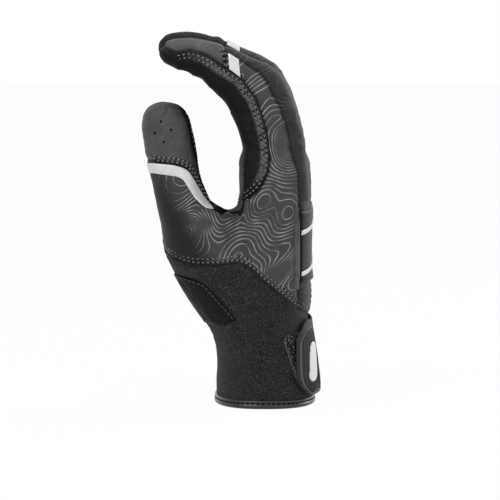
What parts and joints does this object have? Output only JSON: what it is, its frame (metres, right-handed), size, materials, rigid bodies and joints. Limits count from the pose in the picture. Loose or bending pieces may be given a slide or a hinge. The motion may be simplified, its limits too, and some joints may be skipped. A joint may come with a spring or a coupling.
{
  "type": "batting glove",
  "caption": "Right-hand batting glove standing on its bound hem, fingers curled as on a bat, with a wrist strap that peels open.",
  "frame": {"origin": "on the plane of the hem's lower edge, under the middle of the whole glove", "axes": "+Z from the hem to the fingers, +X from the palm to the back of the hand, +Y from the thumb side to the little finger"},
  "size_m": [0.0898, 0.0896, 0.1873],
  "materials": {
    "palm_leather": "soft goat leather, near black, fine creases",
    "tip_leather": "smooth grey synthetic leather",
    "stretch_fabric": "matt black stretch knit",
    "printed_fabric": "dark grey stretch fabric with thin pale contour lines",
    "neoprene": "black knit-faced neoprene",
    "silver_film": "silver heat-pressed film",
    "moulded_rubber": "matt moulded thermoplastic rubber",
    "binding": "glossy black bound edge",
    "hook_loop": "black hook-and-loop tape",
    "white_rubber": "raised white rubber"
  },
  "bodies": {
    "glove": {"palm_leather": "palm_leather", "hand_back_panel": "stretch_fabric", "printed_side_panel": "printed_fabric", "ulnar_side_panel": "stretch_fabric", "cuff_sleeve": "neoprene", "hem_binding": "binding", "thumb_front_leather": "palm_leather", "thumb_tip_cap": "tip_leather", "thumb_back_panel": "stretch_fabric", "thumb_stripe": "silver_film", "heel_patch": "palm_leather", "index_front_leather": "palm_leather", "index_tip_cap": "tip_leather", "index_back_panel": "stretch_fabric", "index_side_panel": "printed_fabric", "index_ulnar_fourchette": "stretch_fabric", "index_stripe": "silver_film", "middle_front_leather": "palm_leather", "middle_tip_cap": "palm_leather", "middle_back_panel": "stretch_fabric", "middle_radial_fourchette": "stretch_fabric", "middle_ulnar_fourchette": "stretch_fabric", "middle_stripe": "silver_film", "ring_front_leather": "palm_leather", "ring_tip_cap": "palm_leather", "ring_back_panel": "stretch_fabric", "ring_radial_fourchette": "stretch_fabric", "ring_ulnar_fourchette": "stretch_fabric", "ring_stripe": "silver_film", "little_front_leather": "palm_leather", "little_tip_cap": "palm_leather", "little_back_panel": "stretch_fabric", "little_radial_fourchette": "stretch_fabric", "little_side_panel": "stretch_fabric", "little_stripe": "silver_film", "back_plate": "moulded_rubber", "ridge_pad": "stretch_fabric", "lower_bar": "silver_film", "upper_bar": "silver_film", "strap_anchor": "neoprene", "loop_patch": "hook_loop"},
    "strap": {"strap_band": "neoprene"},
    "tab": {"strap_tab": "moulded_rubber", "hook_patch": "hook_loop", "tab_emblem": "white_rubber"}
  },
  "joints": [
    {"name": "strap_open", "type": "hinge", "parent": "glove", "child": "strap", "pos_m": [0.00983, 0.0354, 0.0275], "axis": [-0.035, 0.0357, 0.9987], "range_deg": [0, 100]},
    {"name": "tab_peel", "type": "hinge", "parent": "strap", "child": "tab", "pos_m": [0.04398, -0.01265, 0.025], "axis": [-0.0639, -0.0208, 0.9977], "range_deg": [0, 60]}
  ]
}
